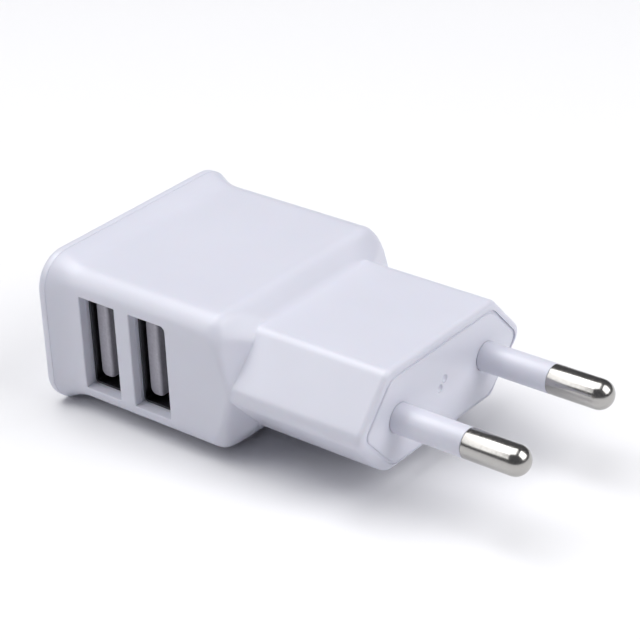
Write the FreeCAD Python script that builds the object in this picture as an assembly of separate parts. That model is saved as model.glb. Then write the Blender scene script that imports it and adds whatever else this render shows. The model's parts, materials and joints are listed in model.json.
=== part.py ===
import FreeCAD, Part
import math
import os

# Wall charger with two USB sockets, in millimetres.
# The origin is the centre of the plug face, the flat end that meets the wall
# socket. +X runs along the plug pins, +Z is up, and the USB sockets open to -Y.

V = FreeCAD.Vector

# ---------------------------------------------------------------- plug and pins
PIN_PITCH = 18.6            # between the two pin axes at the plug face
PIN_R = 2.0                 # bare metal end of a pin
PIN_LENGTH = 19.0           # from the plug face to the tip
SLEEVE_LENGTH = 10.3        # insulated stretch in front of the plug face
SLEEVE_R = 2.0              # as thick as the bare end
SLEEVE_ROOT_R = 1.75        # thinner root, inside the plate
SLEEVE_GROOVE_R = 2.1       # ring groove in the plate's face, round each sleeve
SLEEVE_GROOVE_DEPTH = 0.15
PIN_CORE_R = 1.45           # thinner stem inside the sleeve
PIN_TAIL_R = 1.0
PIN_TAIL_X = -9.0           # inner end of a pin
PIN_FLANGE_R = 2.6
PLATE_THICK = 2.2
PLATE_CHAMFER = 0.45
PLATE_GAP = 0.12
BOSS_R = 3.4
BOSS_LENGTH = 4.0
SLEEVE_DEPTH = 4.0          # sleeve held inside the plate and its boss

# ---------------------------------------------------------------- neck
NECK_HALF_H = 7.3
NECK_FLAT_HALF_W = 11.3     # half width of the flat top and bottom
NECK_CORNER_Y = 17.95       # the two side slopes meet here, before rounding
NECK_SIDE_R = 2.0
NECK_TOP_R = 2.0
NECK_WALL = 2.0
RIM_WALL = 1.0              # thinner wall round the plate
RIM_CHAMFER = 0.7           # eases the rim's outer edge at the plug face

# ---------------------------------------------------------------- head
HEAD_FRONT = -20.4
HEAD_REAR = -51.6
HEAD_HALF_W = 17.5
HEAD_HALF_H = 9.75
HEAD_EDGE_R = 3.5
SHOULDER_RUN = 2.45         # the top and bottom slope down to the neck over this length
SIDE_RUN = 0.65             # the sides turn in over this length
SIDE_TURN = 1.6
SIDE_WALL = 2.2
TOP_WALL = 1.5
CAVITY_FRONT = -23.6
CAVITY_R = 2.3
COVER_SEAM = -50.3
FLARE_LENGTH = 4.2
FLARE = 1.2                 # the rear rim stands out by this much all round
FLARE_STEPS = 4
SPIGOT_DEPTH = 2.6
SPIGOT_WALL = 1.2
SPIGOT_GAP = 0.05

# ---------------------------------------------------------------- USB sockets
SOCKET_X = (-42.35, -33.7)
SOCKET_W = 5.7              # across the shell, along X
SOCKET_H = 13.1             # along Z
SOCKET_R = 0.6
SHELL_WALL = 0.3
SHELL_FRONT = -15.9         # front edge of the shell, inside its mouth
MOUTH_GAP = 0.05            # between the shell and the mouth round it
TONGUE_FRONT = -15.15
TONGUE_THICK = 1.84
TONGUE_H = 11.0
TONGUE_OFFSET = -2.2        # left face of the tongue from the socket's centre
BLOCK_DEPTH = 4.0           # solid rear part of the insulator
GROOVE_W = 1.3
GROOVE_DEPTH = 1.25
CONTACT_Z = (-3.5, -1.0, 1.0, 3.5)
CONTACT_W = 1.0
CONTACT_THICK = 0.2
CONTACT_SINK = 0.1          # straight stretch lies this far below the tongue's face
CONTACT_RISE = 0.45         # the bend stands this far above the face
CONTACT_APEX = -12.2
CONTACT_TIP = -13.1
HINGE_Y = -6.2
HINGE_GAP = 0.1

# ---------------------------------------------------------------- boards
BOARD_THICK = 1.0
BOARD_TOP = -3.8
BOARD_REAR = -49.5
BOARD_FRONT = -8.2
BOARD_NECK_HALF_W = 10.5
BOARD_SIDE = 15.0
BOARD_EDGE_Y = -0.4         # edge that faces the back of the USB board
USB_BOARD_BACK = -0.9
USB_BOARD_X = (-47.5, -28.6)
USB_BOARD_HALF_H = 7.6
RAIL = 1.0

# ---------------------------------------------------------------- components
INPUT_CAP_R = 4.0
INPUT_CAP_X = (-21.8, -11.9)
INPUT_CAP_Y = 4.25
INPUT_CAP_Z = 0.4
AXIAL_R = 1.5
AXIAL_X = (-20.5, -13.0)
AXIAL_Y = 9.9
OUTPUT_CAP_R = 3.15
OUTPUT_CAP_X = -26.9
OUTPUT_CAP_Y = (3.6, 11.0)
OUTPUT_CAP_H = 11.0
LEAD_R = 0.3
LEAD_PITCH = 2.5
LEAD_BELOW = 0.8            # stands out under the board in the head
LEAD_BELOW_NECK = 0.35
SOLDER_R = 0.85
SOLDER_H = 0.65

TRANSFORMER = (-38.0, 7.4, 2.0)
CORE_X = 7.0
CORE_Y = 7.0
CORE_THICK = 4.5
CORE_BAR = 2.0
CORE_LEG = 2.0
CORE_CENTRE = 4.0
BOBBIN_X = 4.9
BOBBIN_WALL = 0.45
FLANGE_THICK = 0.7
FLANGE_Y = 4.85
FLANGE_TOP = 4.8
WINDING_Y = 4.6
WINDING_Z = 4.5
TAPE = 0.15
TRANSFORMER_PIN_Y = (-3.6, -1.2, 1.2, 3.6)

PARTS = {}


def save(node, shape):
    """Write one node as a STEP file."""
    PARTS[node] = shape
    shape.exportStep("parts/" + node + ".step")


# ---------------------------------------------------------------- shape helpers
def block(x0, x1, y0, y1, z0, z1):
    return Part.makeBox(x1 - x0, y1 - y0, z1 - z0, V(x0, y0, z0))


def rod_x(x0, x1, y, z, radius):
    return Part.makeCylinder(radius, x1 - x0, V(x0, y, z), V(1, 0, 0))


def rod_z(z0, z1, x, y, radius):
    return Part.makeCylinder(radius, z1 - z0, V(x, y, z0), V(0, 0, 1))


def prism(points, direction):
    """A straight prism on a closed outline of points."""
    outline = Part.makePolygon(points + [points[0]])
    return Part.Face(outline).extrude(direction)


def fuse_all(shapes):
    whole = shapes[0]
    for shape in shapes[1:]:
        whole = whole.fuse(shape)
    return whole.removeSplitter()


def rounded_rect(x, half_y, half_z, radius):
    """A closed rounded rectangle across X, as a wire."""
    corner_y = half_y - radius
    corner_z = half_z - radius
    slant = radius / math.sqrt(2)
    edges = []
    for sign_y, sign_z in ((1, 1), (-1, 1), (-1, -1), (1, -1)):
        side = V(x, sign_y * half_y, sign_z * corner_z)
        middle = V(x, sign_y * (corner_y + slant), sign_z * (corner_z + slant))
        end = V(x, sign_y * corner_y, sign_z * half_z)
        if sign_y * sign_z > 0:
            edges.append(Part.Arc(side, middle, end).toShape())
        else:
            edges.append(Part.Arc(end, middle, side).toShape())
    joined = []
    for index, arc in enumerate(edges):
        follower = edges[(index + 1) % len(edges)]
        joined.append(arc)
        joined.append(Part.LineSegment(arc.valueAt(arc.LastParameter),
                                       follower.valueAt(follower.FirstParameter)).toShape())
    return Part.Wire(joined)


def rounded_bar(x0, x1, half_y, half_z, radius):
    """A bar along X with rounded long edges."""
    return Part.Face(rounded_rect(x0, half_y, half_z, radius)).extrude(V(x1 - x0, 0, 0))


def neck_bar(x0, x1, inset):
    """The neck's six-sided section, moved inwards by inset, as a bar along X."""
    slope_y = NECK_CORNER_Y - NECK_FLAT_HALF_W
    slope = math.hypot(slope_y, NECK_HALF_H)
    corner = NECK_CORNER_Y - inset * slope / NECK_HALF_H
    half_h = NECK_HALF_H - inset
    flat = corner - half_h * slope_y / NECK_HALF_H
    outline = [V(x0, corner, 0), V(x0, flat, half_h), V(x0, -flat, half_h),
               V(x0, -corner, 0), V(x0, -flat, -half_h), V(x0, flat, -half_h)]
    bar = prism(outline, V(x1 - x0, 0, 0))
    side_edges = []
    top_edges = []
    for edge in bar.Edges:
        middle = edge.CenterOfMass
        if abs(middle.x - (x0 + x1) / 2) > 0.01:
            continue
        if abs(middle.z) < 0.01:
            side_edges.append(edge)
        else:
            top_edges.append(edge)
    bar = bar.makeFillet(max(NECK_SIDE_R - inset / 2, 0.4), side_edges)
    corners = [edge for edge in bar.Edges
               if any(edge.CenterOfMass.distanceToPoint(old.CenterOfMass) < 0.01 for old in top_edges)]
    return bar.makeFillet(max(NECK_TOP_R - inset / 2, 0.3), corners)


# ---------------------------------------------------------------- casing
def flare_rise(x):
    """How far the rear flare stands out at x: a round sweep up to the seam."""
    radius = (FLARE_LENGTH ** 2 + FLARE ** 2) / (2 * FLARE)
    along = max(COVER_SEAM + FLARE_LENGTH - x, 0)
    return radius - math.sqrt(radius ** 2 - along ** 2)


def head_outer():
    start = COVER_SEAM + FLARE_LENGTH
    body = rounded_bar(start, HEAD_FRONT, HEAD_HALF_W, HEAD_HALF_H, HEAD_EDGE_R)
    sections = []
    for step in range(FLARE_STEPS + 1):
        x = start - FLARE_LENGTH * step / FLARE_STEPS
        rise = flare_rise(x)
        sections.append(rounded_rect(x, HEAD_HALF_W + rise, HEAD_HALF_H + rise, HEAD_EDGE_R + rise))
    flare = Part.makeLoft(sections, True, True)
    slope_top = [V(COVER_SEAM - 1, -30, -30), V(COVER_SEAM - 1, -30, 30),
                 V(HEAD_FRONT - SHOULDER_RUN, -30, 30),
                 V(HEAD_FRONT - SHOULDER_RUN, -30, HEAD_HALF_H), V(HEAD_FRONT, -30, NECK_HALF_H),
                 V(HEAD_FRONT, -30, -NECK_HALF_H), V(HEAD_FRONT - SHOULDER_RUN, -30, -HEAD_HALF_H),
                 V(HEAD_FRONT - SHOULDER_RUN, -30, -30)]
    turn_y = HEAD_HALF_W - SIDE_TURN
    slope_side = [V(COVER_SEAM - 1, -30, -30), V(COVER_SEAM - 1, 30, -30),
                  V(HEAD_FRONT - SIDE_RUN, 30, -30), V(HEAD_FRONT - SIDE_RUN, HEAD_HALF_W, -30),
                  V(HEAD_FRONT, turn_y, -30), V(HEAD_FRONT, -turn_y, -30),
                  V(HEAD_FRONT - SIDE_RUN, -HEAD_HALF_W, -30), V(HEAD_FRONT - SIDE_RUN, -30, -30)]
    shaped = body.common(prism(slope_top, V(0, 60, 0))).common(prism(slope_side, V(0, 0, 60)))
    return shaped.fuse(flare)


def rails():
    """Ribs that hold the main board: two pairs on the far wall, two pads in the neck."""
    wall = HEAD_HALF_W - SIDE_WALL
    under = BOARD_TOP - BOARD_THICK
    ribs = [block(-47.5, -25.0, wall - RAIL, wall + 0.2, under - RAIL - 0.05, under - 0.05),
            block(-47.5, -31.5, wall - RAIL, wall + 0.2, BOARD_TOP + 0.05, BOARD_TOP + RAIL)]
    for y in (-5.0, 5.0):
        floor = -(NECK_HALF_H - NECK_WALL)
        ribs.append(block(-20.0, -13.5, y - RAIL, y + RAIL, floor - 0.2, under - 0.05))
    return ribs


def housing():
    neck = neck_bar(CAVITY_FRONT, 0, 0)
    rim_edges = [edge for edge in neck.Edges if abs(edge.CenterOfMass.x) < 0.01]
    outer = head_outer().fuse(neck.makeChamfer(RIM_CHAMFER, rim_edges))
    cavity = rounded_bar(COVER_SEAM - 1, CAVITY_FRONT, HEAD_HALF_W - SIDE_WALL,
                         HEAD_HALF_H - TOP_WALL, CAVITY_R)
    shell = outer.cut(cavity)
    shell = shell.cut(neck_bar(CAVITY_FRONT - 1, -PLATE_THICK, NECK_WALL))
    shell = shell.cut(neck_bar(-PLATE_THICK, 1, RIM_WALL))
    for rib in rails():
        shell = shell.fuse(rib)
    for x in SOCKET_X:
        shell = shell.cut(socket_bar(x, -HEAD_HALF_W - 1, -HEAD_HALF_W + SIDE_WALL + 0.2,
                                     SOCKET_W + 2 * MOUTH_GAP, SOCKET_H + 2 * MOUTH_GAP, SOCKET_R))
    return shell.removeSplitter()


def rear_cover():
    half_w = HEAD_HALF_W + FLARE
    half_h = HEAD_HALF_H + FLARE
    plate = rounded_bar(HEAD_REAR, COVER_SEAM, half_w, half_h, HEAD_EDGE_R + FLARE)
    back_edges = [edge for edge in plate.Edges if abs(edge.CenterOfMass.x - HEAD_REAR) < 0.01]
    plate = plate.makeFillet(0.5, back_edges)
    spigot_w = HEAD_HALF_W - SIDE_WALL - SPIGOT_GAP
    spigot_h = HEAD_HALF_H - TOP_WALL - SPIGOT_GAP
    spigot = rounded_bar(COVER_SEAM, COVER_SEAM + SPIGOT_DEPTH, spigot_w, spigot_h, CAVITY_R)
    hollow = rounded_bar(COVER_SEAM, COVER_SEAM + SPIGOT_DEPTH, spigot_w - SPIGOT_WALL,
                         spigot_h - SPIGOT_WALL, CAVITY_R - SPIGOT_WALL)
    board_slot = block(COVER_SEAM, COVER_SEAM + SPIGOT_DEPTH, spigot_w - 2 * SPIGOT_WALL, spigot_w + 1,
                       BOARD_TOP - BOARD_THICK - RAIL - 0.1, BOARD_TOP + RAIL + 0.1)
    return plate.fuse(spigot.cut(hollow).cut(board_slot)).removeSplitter()


def pin_plate():
    plate = neck_bar(-PLATE_THICK, 0, RIM_WALL + PLATE_GAP)
    front_edges = [edge for edge in plate.Edges if abs(edge.CenterOfMass.x) < 0.01]
    plate = plate.makeChamfer(PLATE_CHAMFER, front_edges)
    for side in (-1, 1):
        y = side * PIN_PITCH / 2
        plate = plate.fuse(rod_x(-PLATE_THICK - BOSS_LENGTH, -PLATE_THICK, y, 0, BOSS_R))
    for side in (-1, 1):
        y = side * PIN_PITCH / 2
        plate = plate.cut(rod_x(-SLEEVE_DEPTH, 1, y, 0, SLEEVE_ROOT_R))
        plate = plate.cut(rod_x(-SLEEVE_GROOVE_DEPTH, 1, y, 0, SLEEVE_GROOVE_R))
        plate = plate.cut(rod_x(-PLATE_THICK - BOSS_LENGTH - 1, -SLEEVE_DEPTH, y, 0, PIN_CORE_R))
    return plate.removeSplitter()


def pin_sleeve(y):
    tube = fuse_all([rod_x(-SLEEVE_DEPTH, 0, y, 0, SLEEVE_ROOT_R),
                     rod_x(0, SLEEVE_LENGTH, y, 0, SLEEVE_R)])
    return tube.cut(rod_x(-SLEEVE_DEPTH - 1, SLEEVE_LENGTH + 1, y, 0, PIN_CORE_R))


def plug_pin(y):
    """Bare tip with a round end, thinner stem, a flange behind the boss and a tail."""
    flange_x = -PLATE_THICK - BOSS_LENGTH
    tip_centre = PIN_LENGTH - PIN_R
    return fuse_all([rod_x(SLEEVE_LENGTH, tip_centre, y, 0, PIN_R),
                     Part.makeSphere(PIN_R, V(tip_centre, y, 0)),
                     rod_x(flange_x, SLEEVE_LENGTH, y, 0, PIN_CORE_R),
                     rod_x(flange_x - 0.8, flange_x, y, 0, PIN_FLANGE_R),
                     rod_x(PIN_TAIL_X, flange_x - 0.8, y, 0, PIN_TAIL_R)])


def pin_contact(y):
    """Upright strip on the board that presses on the end of a pin."""
    thick = 0.4
    half = 1.2
    upright = block(PIN_TAIL_X - thick, PIN_TAIL_X, y - half, y + half, BOARD_TOP, 1.6)
    foot = block(PIN_TAIL_X - 2.6, PIN_TAIL_X, y - half, y + half, BOARD_TOP, BOARD_TOP + thick)
    return fuse_all([upright, foot])


# ---------------------------------------------------------------- USB sockets
def socket_bar(x, y0, y1, width, height, radius):
    """A bar along Y with rounded edges, centred on x."""
    bar = block(x - width / 2, x + width / 2, y0, y1, -height / 2, height / 2)
    edges = [edge for edge in bar.Edges
             if abs(edge.CenterOfMass.y - (y0 + y1) / 2) < 0.01]
    return bar.makeFillet(radius, edges)


def socket_rear():
    return USB_BOARD_BACK - BOARD_THICK


def usb_legs(x):
    """The shell's four solder legs, which go through the USB board."""
    legs = []
    for side in (-1, 1):
        for z in (-4.5, 4.5):
            middle = x + side * (SOCKET_W - SHELL_WALL) / 2
            legs.append(block(middle - SHELL_WALL / 2, middle + SHELL_WALL / 2, socket_rear(),
                              USB_BOARD_BACK + 0.4, z - 0.6, z + 0.6))
    return legs


def usb_shell(x):
    tube = socket_bar(x, SHELL_FRONT, socket_rear(), SOCKET_W, SOCKET_H, SOCKET_R)
    inner = socket_bar(x, SHELL_FRONT - 1, socket_rear() + 1, SOCKET_W - 2 * SHELL_WALL,
                       SOCKET_H - 2 * SHELL_WALL, SOCKET_R - SHELL_WALL)
    return fuse_all([tube.cut(inner)] + usb_legs(x))


def tongue_face(x):
    return x + TONGUE_OFFSET + TONGUE_THICK


def usb_tails(x):
    """Fixed ends of the four contacts, held in the insulator and soldered to the USB board."""
    outer = tongue_face(x) - CONTACT_SINK
    return [block(outer - CONTACT_THICK, outer, HINGE_Y + HINGE_GAP, USB_BOARD_BACK + 0.4,
                  z - CONTACT_W / 2, z + CONTACT_W / 2) for z in CONTACT_Z]


def usb_insulator(x):
    """Rear block filling the shell, and the tongue with a groove for each contact."""
    block_front = socket_rear() - BLOCK_DEPTH
    rear = socket_bar(x, block_front, socket_rear(), SOCKET_W - 2 * SHELL_WALL,
                      SOCKET_H - 2 * SHELL_WALL, SOCKET_R - SHELL_WALL)
    tongue = block(x + TONGUE_OFFSET, tongue_face(x), TONGUE_FRONT, block_front,
                   -TONGUE_H / 2, TONGUE_H / 2)
    front_edges = [edge for edge in tongue.Edges if abs(edge.CenterOfMass.y - TONGUE_FRONT) < 0.01]
    tongue = tongue.makeFillet(0.5, front_edges)
    part = rear.fuse(tongue)
    for z in CONTACT_Z:
        part = part.cut(block(tongue_face(x) - GROOVE_DEPTH, tongue_face(x) + 0.1,
                              TONGUE_FRONT + 0.6, block_front, z - GROOVE_W / 2, z + GROOVE_W / 2))
    for tail in usb_tails(x):
        part = part.cut(tail)
    return part.removeSplitter()


def usb_springs(x):
    """Four sprung contacts: a straight strip, a rounded bend towards the plug and a tucked tip."""
    outer = tongue_face(x) - CONTACT_SINK
    apex = tongue_face(x) + CONTACT_RISE
    tip = tongue_face(x) - 0.5
    bend = CONTACT_APEX + 1.6
    springs = []
    for z in CONTACT_Z:
        low = z - CONTACT_W / 2
        outer_line = [V(outer, HINGE_Y, low), V(outer, bend, low),
                      V(apex, CONTACT_APEX, low), V(tip, CONTACT_TIP, low)]
        inner_line = [V(p.x - CONTACT_THICK, p.y, low) for p in reversed(outer_line)]
        springs.append(prism(outer_line + inner_line, V(0, 0, CONTACT_W)))
    return springs


# ---------------------------------------------------------------- boards
def lead_places():
    """Centres of the round leads that go down through the main board."""
    centre_x, centre_y, centre_z = TRANSFORMER
    places = []
    for side in (-1, 1):
        for y in TRANSFORMER_PIN_Y:
            places.append((centre_x + side * (BOBBIN_X - FLANGE_THICK / 2), centre_y + y))
    return places


def component_lead_places():
    places = []
    for y in OUTPUT_CAP_Y:
        for side in (-1, 1):
            places.append((OUTPUT_CAP_X, y + side * LEAD_PITCH / 2))
    for side in (-1, 1):
        for end in (-1, 1):
            places.append((INPUT_CAP_X[1] + 0.9, side * INPUT_CAP_Y + end * LEAD_PITCH / 2))
        places.append((AXIAL_X[0] - 0.9, side * AXIAL_Y))
        places.append((AXIAL_X[1] + 0.7, side * AXIAL_Y))
    return places


def main_board():
    under = BOARD_TOP - BOARD_THICK
    neck = BOARD_NECK_HALF_W
    inner_x = CAVITY_FRONT - 0.4
    outline = [V(BOARD_FRONT, -neck, under), V(BOARD_FRONT, neck, under), V(inner_x, neck, under),
               V(inner_x, BOARD_SIDE, under), V(BOARD_REAR, BOARD_SIDE, under),
               V(BOARD_REAR, BOARD_EDGE_Y, under), V(USB_BOARD_X[1] + 0.1, BOARD_EDGE_Y, under),
               V(USB_BOARD_X[1] + 0.1, -neck, under)]
    board = prism(outline, V(0, 0, BOARD_THICK))
    for x, y in lead_places() + component_lead_places():
        board = board.cut(rod_z(under - 1, BOARD_TOP + 1, x, y, LEAD_R))
    return board


def usb_board():
    board = block(USB_BOARD_X[0], USB_BOARD_X[1], socket_rear(), USB_BOARD_BACK,
                  -USB_BOARD_HALF_H, USB_BOARD_HALF_H)
    for x in SOCKET_X:
        for piece in usb_legs(x) + usb_tails(x):
            board = board.cut(piece)
    return board


def insulating_film():
    return block(-46.0, -31.0, 0.0, 0.2, BOARD_TOP, USB_BOARD_HALF_H - 0.4)


# ---------------------------------------------------------------- mains side components
def input_capacitor(side):
    can = rod_x(INPUT_CAP_X[0], INPUT_CAP_X[1], side * INPUT_CAP_Y, INPUT_CAP_Z, INPUT_CAP_R)
    ends = [edge for edge in can.Edges if abs(edge.Length - 2 * math.pi * INPUT_CAP_R) < 0.01]
    return can.makeFillet(0.5, ends)


def axial_part(side):
    body = rod_x(AXIAL_X[0], AXIAL_X[1], side * AXIAL_Y, BOARD_TOP + AXIAL_R + 0.2, AXIAL_R)
    ends = [edge for edge in body.Edges if abs(edge.Length - 2 * math.pi * AXIAL_R) < 0.01]
    return body.makeFillet(0.6, ends)


def component_leads():
    """Wire leads of the round capacitors, the fuse resistor and the inductor."""
    under = BOARD_TOP - BOARD_THICK - LEAD_BELOW
    leads = []
    for y in OUTPUT_CAP_Y:
        for side in (-1, 1):
            leads.append(rod_z(under, BOARD_TOP, OUTPUT_CAP_X, y + side * LEAD_PITCH / 2, LEAD_R))
    under = BOARD_TOP - BOARD_THICK - LEAD_BELOW_NECK
    for side in (-1, 1):
        for end in (-1, 1):
            y = side * INPUT_CAP_Y + end * LEAD_PITCH / 2
            x = INPUT_CAP_X[1] + 0.9
            leads.append(bent_lead(INPUT_CAP_X[1], x, y, INPUT_CAP_Z, under))
        level = BOARD_TOP + AXIAL_R + 0.2
        leads.append(bent_lead(AXIAL_X[0], AXIAL_X[0] - 0.9, side * AXIAL_Y, level, under))
        leads.append(bent_lead(AXIAL_X[1], AXIAL_X[1] + 0.7, side * AXIAL_Y, level, under))
    return leads


def bent_lead(x_start, x_down, y, level, under):
    """A lead that runs out along X and turns down through the board."""
    low, high = sorted((x_start, x_down))
    return fuse_all([rod_x(low, high, y, level, LEAD_R), rod_z(under, level, x_down, y, LEAD_R),
                     Part.makeSphere(LEAD_R, V(x_down, y, level))])


# ---------------------------------------------------------------- transformer
def transformer_core(side):
    """One half of the E-shaped ferrite core; the two halves meet in the middle."""
    x, y, z = TRANSFORMER

    def leg(x0, x1, y0, y1):
        low, high = sorted((side * x0, side * x1))
        return block(x + low, x + high, y + y0, y + y1, z - CORE_THICK / 2, z + CORE_THICK / 2)

    return fuse_all([leg(CORE_X - CORE_BAR, CORE_X, -CORE_Y, CORE_Y),
                     leg(0, CORE_X, -CORE_Y, -CORE_Y + CORE_LEG),
                     leg(0, CORE_X, CORE_Y - CORE_LEG, CORE_Y),
                     leg(0, CORE_X, -CORE_CENTRE / 2, CORE_CENTRE / 2)])


def centred_block(half_x, half_y, half_z):
    x, y, z = TRANSFORMER
    return block(x - half_x, x + half_x, y - half_y, y + half_y, z - half_z, z + half_z)


def bobbin_hole():
    return CORE_CENTRE / 2 + 0.05, CORE_THICK / 2 + 0.05


def transformer_bobbin():
    x, y, z = TRANSFORMER
    hole_y, hole_z = bobbin_hole()
    pieces = [centred_block(BOBBIN_X, hole_y + BOBBIN_WALL, hole_z + BOBBIN_WALL)]
    for side in (-1, 1):
        low, high = sorted((side * (BOBBIN_X - FLANGE_THICK), side * BOBBIN_X))
        pieces.append(block(x + low, x + high, y - FLANGE_Y, y + FLANGE_Y, BOARD_TOP, z + FLANGE_TOP))
    return fuse_all(pieces).cut(centred_block(BOBBIN_X + 1, hole_y, hole_z))


def transformer_windings():
    hole_y, hole_z = bobbin_hole()
    half_x = BOBBIN_X - FLANGE_THICK
    coil = rounded_coil(half_x, WINDING_Y, WINDING_Z)
    return coil.cut(centred_block(half_x + 1, hole_y + BOBBIN_WALL, hole_z + BOBBIN_WALL))


def rounded_coil(half_x, half_y, half_z):
    x, y, z = TRANSFORMER
    bar = rounded_bar(x - half_x, x + half_x, half_y, half_z, 1.2)
    bar.translate(V(0, y, z))
    return bar


def transformer_tape():
    half_x = BOBBIN_X - FLANGE_THICK - 0.1
    return rounded_coil(half_x, WINDING_Y + TAPE, WINDING_Z + TAPE).cut(
        rounded_coil(half_x + 1, WINDING_Y, WINDING_Z))


def transformer_pins():
    under = BOARD_TOP - BOARD_THICK - LEAD_BELOW
    return [rod_z(under, BOARD_TOP, x, y, LEAD_R) for x, y in lead_places()]


# ---------------------------------------------------------------- small components
def output_capacitor(y):
    can = rod_z(BOARD_TOP, BOARD_TOP + OUTPUT_CAP_H, OUTPUT_CAP_X, y, OUTPUT_CAP_R)
    ends = [edge for edge in can.Edges if abs(edge.Length - 2 * math.pi * OUTPUT_CAP_R) < 0.01]
    return can.makeFillet(0.45, ends)


def y_capacitor():
    disc = rod_x(-48.9, -46.4, 10.2, BOARD_TOP + 4.0, 3.5)
    ends = [edge for edge in disc.Edges if abs(edge.Length - 2 * math.pi * 3.5) < 0.01]
    return disc.makeFillet(0.9, ends)


def chip(x, y, length_x, length_y, height, legs, below=True):
    """A moulded chip with bent legs along its two X sides, under or on the main board."""
    face = BOARD_TOP - BOARD_THICK if below else BOARD_TOP
    out = -1 if below else 1
    stand = 0.15

    def layer(x0, x1, y0, y1, h0, h1):
        low, high = sorted((face + out * h0, face + out * h1))
        return block(x0, x1, y0, y1, low, high)

    pieces = [layer(x - length_x / 2, x + length_x / 2, y - length_y / 2, y + length_y / 2,
                    stand, height)]
    pitch = length_y / legs
    for index in range(legs):
        leg_y = y + (index - (legs - 1) / 2) * pitch
        for side in (-1, 1):
            near = x + side * length_x / 2
            far = near + side * 0.9
            low, high = sorted((near, far))
            pieces.append(layer(low, high, leg_y - 0.2, leg_y + 0.2, 0, 0.35))
    return fuse_all(pieces)


def usb_control_chip():
    """Small six-legged chip on the back of the USB board, above the main board."""
    body = block(-39.3, -36.75, USB_BOARD_BACK, USB_BOARD_BACK + 0.8, 3.0, 4.6)
    legs = []
    for x in (-38.85, -38.03, -37.2):
        legs.append(block(x - 0.2, x + 0.2, USB_BOARD_BACK, USB_BOARD_BACK + 0.2, 2.4, 5.2))
    return fuse_all([body] + legs)


def smd_row(first_x, y, count, pitch, length, width, height):
    """Chip components side by side under the main board."""
    top = BOARD_TOP - BOARD_THICK
    return [block(first_x + index * pitch - width / 2, first_x + index * pitch + width / 2,
                  y - length / 2, y + length / 2, top - height, top) for index in range(count)]


def solder_joints():
    """A small cone of solder round each lead under the board, and fillets that join the boards."""
    under = BOARD_TOP - BOARD_THICK
    joints = []
    for x, y in lead_places() + component_lead_places():
        edge = SOLDER_R
        if abs(y) + SOLDER_R > BOARD_NECK_HALF_W and x > CAVITY_FRONT:
            edge = BOARD_NECK_HALF_W - abs(y)
        height = SOLDER_H if x < CAVITY_FRONT else LEAD_BELOW_NECK
        cone = Part.makeCone(edge, LEAD_R + 0.05, height, V(x, y, under), V(0, 0, -1))
        joints.append(cone.cut(rod_z(under - 1, under + 1, x, y, LEAD_R)))
    for x in (-47.4, -41.2, -37.6, -30.4):
        corner = [V(x, USB_BOARD_BACK, BOARD_TOP), V(x, BOARD_EDGE_Y + 0.35, BOARD_TOP),
                  V(x, USB_BOARD_BACK, BOARD_TOP + 0.9)]
        joints.append(prism(corner, V(0.9, 0, 0)))
    return joints


# ---------------------------------------------------------------- build
def build():
    os.makedirs("parts", exist_ok=True)
    save("housing", housing())
    save("rear_cover", rear_cover())
    save("pin_plate", pin_plate())
    for name, side in (("left", -1), ("right", 1)):
        y = side * PIN_PITCH / 2
        save("plug_pin_" + name, plug_pin(y))
        save("pin_sleeve_" + name, pin_sleeve(y))
        save("pin_contact_" + name, pin_contact(y))
    for number, x in enumerate(SOCKET_X, 1):
        socket = "usb_socket_" + str(number)
        save(socket + "_shell", usb_shell(x))
        save(socket + "_insulator", usb_insulator(x))
        save(socket + "_contact_springs", Part.makeCompound(usb_springs(x)))
        save(socket + "_contact_tails", Part.makeCompound(usb_tails(x)))
    save("main_board", main_board())
    save("usb_board", usb_board())
    save("insulating_film", insulating_film())
    save("input_capacitor_1", input_capacitor(-1))
    save("input_capacitor_2", input_capacitor(1))
    save("fuse_resistor", axial_part(-1))
    save("input_inductor", axial_part(1))
    save("component_leads", Part.makeCompound(component_leads()))
    save("transformer_core_front", transformer_core(1))
    save("transformer_core_rear", transformer_core(-1))
    save("transformer_bobbin", transformer_bobbin())
    save("transformer_windings", transformer_windings())
    save("transformer_tape", transformer_tape())
    save("transformer_pins", Part.makeCompound(transformer_pins()))
    save("output_capacitor_1", output_capacitor(OUTPUT_CAP_Y[0]))
    save("output_capacitor_2", output_capacitor(OUTPUT_CAP_Y[1]))
    save("y_capacitor", y_capacitor())
    save("optocoupler", chip(-47.6, 3.0, 1.8, 4.4, 2.1, 2, below=False))
    save("bridge_rectifier", chip(-26.0, -5.6, 2.4, 4.7, 2.4, 2))
    save("controller_chip", chip(-38.0, 9.0, 3.9, 4.9, 1.6, 4))
    save("output_rectifier", chip(-38.0, 3.2, 2.6, 4.4, 2.2, 1))
    save("usb_control_chip", usb_control_chip())
    save("smd_resistors", Part.makeCompound(smd_row(-45.6, 12.9, 7, 1.5, 1.6, 0.8, 0.45)))
    save("smd_capacitors", Part.makeCompound(smd_row(-47.9, 6.4, 3, 1.9, 2.0, 1.25, 1.0)))
    save("solder_joints", Part.makeCompound(solder_joints()))
    report()


def report():
    """Print each node's volume, and any that isn't a valid closed solid."""
    for node, shape in sorted(PARTS.items()):
        state = "ok" if shape.isValid() else "INVALID"
        print(node, len(shape.Solids), "solids", round(shape.Volume, 2), "mm3", state)


build()
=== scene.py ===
import json
import math

import bmesh
import bpy
import numpy as np
from mathutils import Matrix, Quaternion, Vector


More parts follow.
